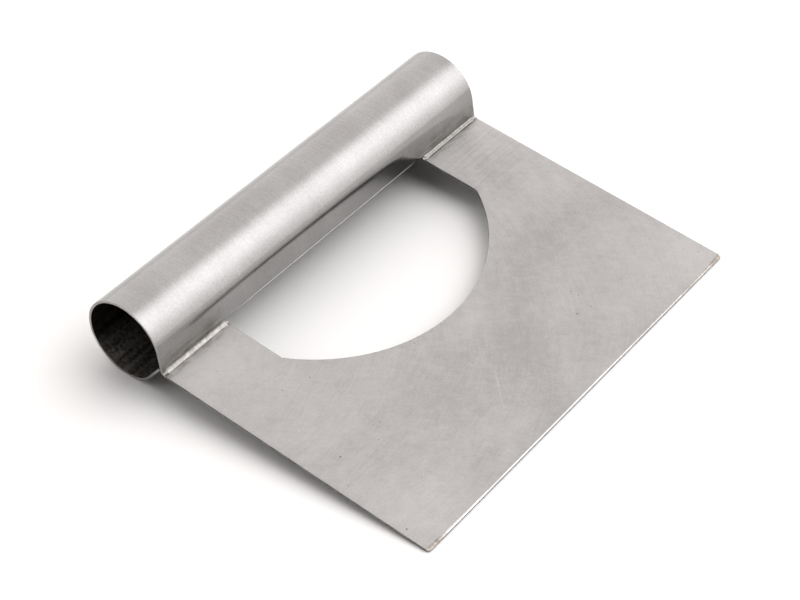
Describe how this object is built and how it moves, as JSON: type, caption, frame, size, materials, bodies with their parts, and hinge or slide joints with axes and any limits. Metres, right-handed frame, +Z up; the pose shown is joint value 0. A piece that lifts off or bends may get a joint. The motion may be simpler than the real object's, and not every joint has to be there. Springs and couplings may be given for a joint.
{
  "type": "bench scraper",
  "caption": "Rigid dough scraper: flat steel blade with a D-shaped finger opening, welded to a round open-ended handle rolled from sheet; cuts, lifts and scrapes dough.",
  "frame": {"origin": "on the table, under the middle of the object's bounding box, with the object lying on its handle and on the blade's front edge", "axes": "+X along the handle and the front edge, +Y from the front edge towards the handle, +Z up"},
  "size_m": [0.15, 0.1224, 0.0272],
  "materials": {
    "handle_steel": "satin stainless, fine hairlines round the tube",
    "blade_steel": "satin stainless with soft, cloudy swirls",
    "weld_steel": "bright, rippled weld metal"
  },
  "bodies": {
    "root": {"handle_tube": "handle_steel", "blade": "blade_steel", "weld_bead_left": "weld_steel", "weld_bead_right": "weld_steel"}
  },
  "joints": []
}
